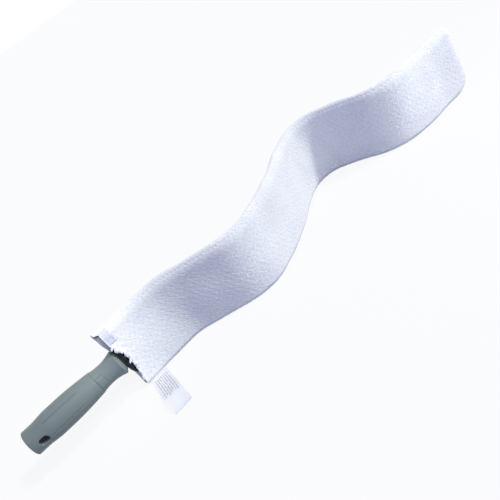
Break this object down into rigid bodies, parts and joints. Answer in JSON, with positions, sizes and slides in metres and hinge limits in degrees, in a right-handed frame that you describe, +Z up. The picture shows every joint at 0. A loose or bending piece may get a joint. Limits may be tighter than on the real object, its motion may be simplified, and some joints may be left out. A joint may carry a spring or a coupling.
{
  "type": "flexible flat duster",
  "caption": "Flat dusting wand with a bendable spine in a white pile sleeve, on a short grey grip with a release button.",
  "frame": {"origin": "middle of the base of the bounding box, on the surface that the wand stands on", "axes": "+X from the grip towards the tip, +Z up along the wand's width, -Y towards the side with the care label"},
  "size_m": [0.6552, 0.1442, 0.0865],
  "materials": {
    "grip_plastic": "satin moulded plastic",
    "button_plastic": "satin moulded plastic",
    "frame_plastic": "satin moulded plastic",
    "core_steel": "soft strip steel",
    "spring_steel": "bright wire",
    "pile_cloth": "looped and cut pile",
    "hem_cloth": "flat woven tape",
    "label_satin": "satin ribbon"
  },
  "bodies": {
    "handle": {"grip_shell": "grip_plastic", "collar": "grip_plastic", "button_spring": "spring_steel", "frame_base": "frame_plastic", "core_strip_00": "core_steel", "sleeve_section_00": "pile_cloth", "mouth_hem": "hem_cloth", "care_label": "label_satin"},
    "button": {"release_button": "button_plastic"},
    "link_01": {"spine_plate_01": "frame_plastic", "core_strip_01": "core_steel", "sleeve_section_01": "pile_cloth"},
    "link_02": {"spine_plate_02": "frame_plastic", "core_strip_02": "core_steel", "sleeve_section_02": "pile_cloth"},
    "link_03": {"spine_plate_03": "frame_plastic", "core_strip_03": "core_steel", "sleeve_section_03": "pile_cloth"},
    "link_04": {"spine_plate_04": "frame_plastic", "core_strip_04": "core_steel", "sleeve_section_04": "pile_cloth"},
    "link_05": {"spine_plate_05": "frame_plastic", "core_strip_05": "core_steel", "sleeve_section_05": "pile_cloth"},
    "link_06": {"spine_plate_06": "frame_plastic", "core_strip_06": "core_steel", "sleeve_section_06": "pile_cloth"},
    "link_07": {"spine_plate_07": "frame_plastic", "core_strip_07": "core_steel", "sleeve_section_07": "pile_cloth"},
    "link_08": {"spine_plate_08": "frame_plastic", "core_strip_08": "core_steel", "sleeve_section_08": "pile_cloth"},
    "link_09": {"spine_plate_09": "frame_plastic", "core_strip_09": "core_steel", "sleeve_section_09": "pile_cloth"},
    "link_10": {"spine_plate_10": "frame_plastic", "core_strip_10": "core_steel", "sleeve_section_10": "pile_cloth"}
  },
  "joints": [
    {"name": "button_press", "type": "slide", "parent": "handle", "child": "button", "axis": [0, 0.9781, -0.2079], "range_m": [0, 0.0032], "stiffness_N_per_m": 600, "springref_m": -0.003, "deforming": ["button_spring"]},
    {"name": "bend_01", "type": "hinge", "parent": "handle", "child": "link_01", "pos_m": [-0.13089, 0.00522, 0.043], "axis": [0, 0, -1], "range_deg": [-83, 17], "deforming": ["sleeve_section_00", "sleeve_section_01"]},
    {"name": "bend_02", "type": "hinge", "parent": "link_01", "child": "link_02", "pos_m": [-0.08456, -0.01304, 0.043], "axis": [0, 0, 1], "range_deg": [-53, 47], "deforming": ["sleeve_section_02"]},
    {"name": "bend_03", "type": "hinge", "parent": "link_02", "child": "link_03", "pos_m": [-0.03731, -0.02784, 0.043], "axis": [0, 0, 1], "range_deg": [-98, 6], "deforming": ["sleeve_section_03"]},
    {"name": "bend_04", "type": "hinge", "parent": "link_03", "child": "link_04", "pos_m": [0.00904, -0.01072, 0.043], "axis": [0, 0, 1], "range_deg": [-60, 40], "deforming": ["sleeve_section_04"]},
    {"name": "bend_05", "type": "hinge", "parent": "link_04", "child": "link_05", "pos_m": [0.05014, 0.01766, 0.043], "axis": [0, 0, 1], "range_deg": [-57, 43], "deforming": ["sleeve_section_05"]},
    {"name": "bend_06", "type": "hinge", "parent": "link_05", "child": "link_06", "pos_m": [0.08891, 0.04919, 0.043], "axis": [0, 0, -1], "range_deg": [-66, 34], "deforming": ["sleeve_section_06"]},
    {"name": "bend_07", "type": "hinge", "parent": "link_06", "child": "link_07", "pos_m": [0.1349, 0.06489, 0.043], "axis": [0, 0, -1], "range_deg": [-124, 6], "deforming": ["sleeve_section_07"]},
    {"name": "bend_08", "type": "hinge", "parent": "link_07", "child": "link_08", "pos_m": [0.17226, 0.03358, 0.043], "axis": [0, 0, -1], "range_deg": [-59, 41], "deforming": ["sleeve_section_08"]},
    {"name": "bend_09", "type": "hinge", "parent": "link_08", "child": "link_09", "pos_m": [0.20431, -0.0043, 0.043], "axis": [0, 0, 1], "range_deg": [-99, 6], "deforming": ["sleeve_section_09"]},
    {"name": "bend_10", "type": "hinge", "parent": "link_09", "child": "link_10", "pos_m": [0.2525, -0.01463, 0.043], "axis": [0, 0, 1], "range_deg": [-66, 34], "deforming": ["sleeve_section_10"]}
  ]
}
